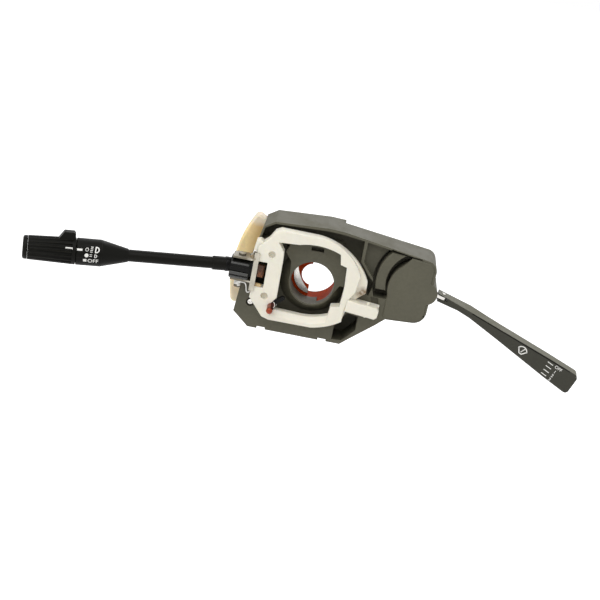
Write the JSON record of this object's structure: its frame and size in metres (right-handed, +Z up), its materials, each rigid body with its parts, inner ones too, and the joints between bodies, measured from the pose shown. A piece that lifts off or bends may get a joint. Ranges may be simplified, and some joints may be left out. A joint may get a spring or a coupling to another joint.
{
  "type": "combination stalk switch",
  "caption": "Steering column combination switch: open mechanism housing round a column bore, light and turn signal stalk on the left, wiper and washer stalk on the right.",
  "frame": {"origin": "centre of the column bore in the plane of the rear mounting face", "axes": "+X to the right as the driver sees it, along the stalks, +Z up, -Y towards the driver along the column bore"},
  "size_m": [0.4608, 0.0965, 0.096],
  "materials": {
    "housing_plastic": "moulded matt black",
    "lever_plastic": "fine satin black",
    "knuckle_plastic": "black nylon with a slight gloss",
    "wiper_lever_plastic": "moulded matt black",
    "rod_paint": "satin black paint on steel",
    "white_nylon": "natural nylon, slightly translucent",
    "amber_nylon": "aged natural nylon, amber in the middle",
    "orange_plastic": "glossy orange-red moulding",
    "plated_steel": "bright zinc plate",
    "spring_steel": "drawn spring steel",
    "copper": "dull red copper",
    "contact_brass": "bright brass",
    "phenolic": "brown laminate"
  },
  "bodies": {
    "root": {"housing": "housing_plastic", "rear_cover": "housing_plastic", "cover_screws": "plated_steel", "deck_screw": "plated_steel", "contact_board": "phenolic", "contact_rivets": "contact_brass", "dip_switch_body": "amber_nylon", "wiper_cover": "housing_plastic", "channel_strip": "housing_plastic", "wiper_pivot_pin": "plated_steel", "yoke_pivot_pin": "plated_steel", "harness_socket": "white_nylon", "socket_pins": "contact_brass", "wiper_studs": "contact_brass"},
    "turn_yoke": {"turn_yoke": "white_nylon", "detent_block": "white_nylon", "block_cross_pin": "white_nylon", "lever_bracket": "plated_steel", "lever_hinge_pin": "plated_steel", "return_spring": "spring_steel", "spring_clip": "white_nylon", "pawl_pin": "copper", "pawl_spring": "spring_steel"},
    "turn_lever": {"lever_knuckle": "knuckle_plastic", "dip_finger": "phenolic", "lever_rod": "rod_paint", "rod_ferrule": "rod_paint", "lever_collar": "lever_plastic"},
    "light_knob": {"light_knob": "lever_plastic", "knob_end_cap": "lever_plastic"},
    "detent_plunger": {"detent_plunger": "white_nylon"},
    "cancel_pawl": {"cancel_pawl": "spring_steel"},
    "slip_ring": {"slip_ring_carrier": "orange_plastic", "slip_ring": "contact_brass", "ring_leaf": "plated_steel"},
    "wiper_rotor": {"wiper_rotor": "white_nylon", "wiper_contact": "contact_brass", "wiper_shank": "plated_steel"},
    "wiper_lever": {"wiper_lever": "wiper_lever_plastic", "wiper_lever_pin": "plated_steel"}
  },
  "joints": [
    {"name": "turn_signal", "type": "hinge", "parent": "root", "child": "turn_yoke", "pos_m": [0.034, -0.043, -0.0094], "axis": [0, 1, 0], "range_deg": [-7, 7]},
    {"name": "dip_flash", "type": "hinge", "parent": "turn_yoke", "child": "turn_lever", "pos_m": [-0.06, -0.051, 0.005], "axis": [0, 0, 1], "range_deg": [0, 7], "stiffness_Nm_per_rad": 1.5, "springref_deg": -5.73},
    {"name": "light_knob_turn", "type": "hinge", "parent": "turn_lever", "child": "light_knob", "pos_m": [-0.06, -0.051, 0.00665], "axis": [-0.977, -0.2077, -0.0478], "range_deg": [0, 60]},
    {"name": "detent_press", "type": "slide", "parent": "turn_yoke", "child": "detent_plunger", "axis": [0, -1, 0], "range_m": [0, 0.0015], "stiffness_N_per_m": 600, "springref_m": -0.002},
    {"name": "pawl_swing", "type": "hinge", "parent": "turn_yoke", "child": "cancel_pawl", "pos_m": [-0.03, -0.0478, -0.0224], "axis": [0, 1, 0], "range_deg": [-10, 10], "stiffness_Nm_per_rad": 0.02},
    {"name": "slip_ring_turn", "type": "hinge", "parent": "root", "child": "slip_ring", "pos_m": [0, -0.011, 0], "axis": [0, 1, 0], "continuous": true},
    {"name": "wiper_turn", "type": "hinge", "parent": "root", "child": "wiper_rotor", "pos_m": [0.0935, -0.028, 0.0095], "axis": [0, 1, 0], "range_deg": [0, 24]},
    {"name": "wash_pull", "type": "hinge", "parent": "wiper_rotor", "child": "wiper_lever", "pos_m": [0.1085, -0.028, 0.00559], "axis": [-0.2521, 0, -0.9677], "range_deg": [0, 6], "stiffness_Nm_per_rad": 0.5, "springref_deg": -5.73}
  ]
}
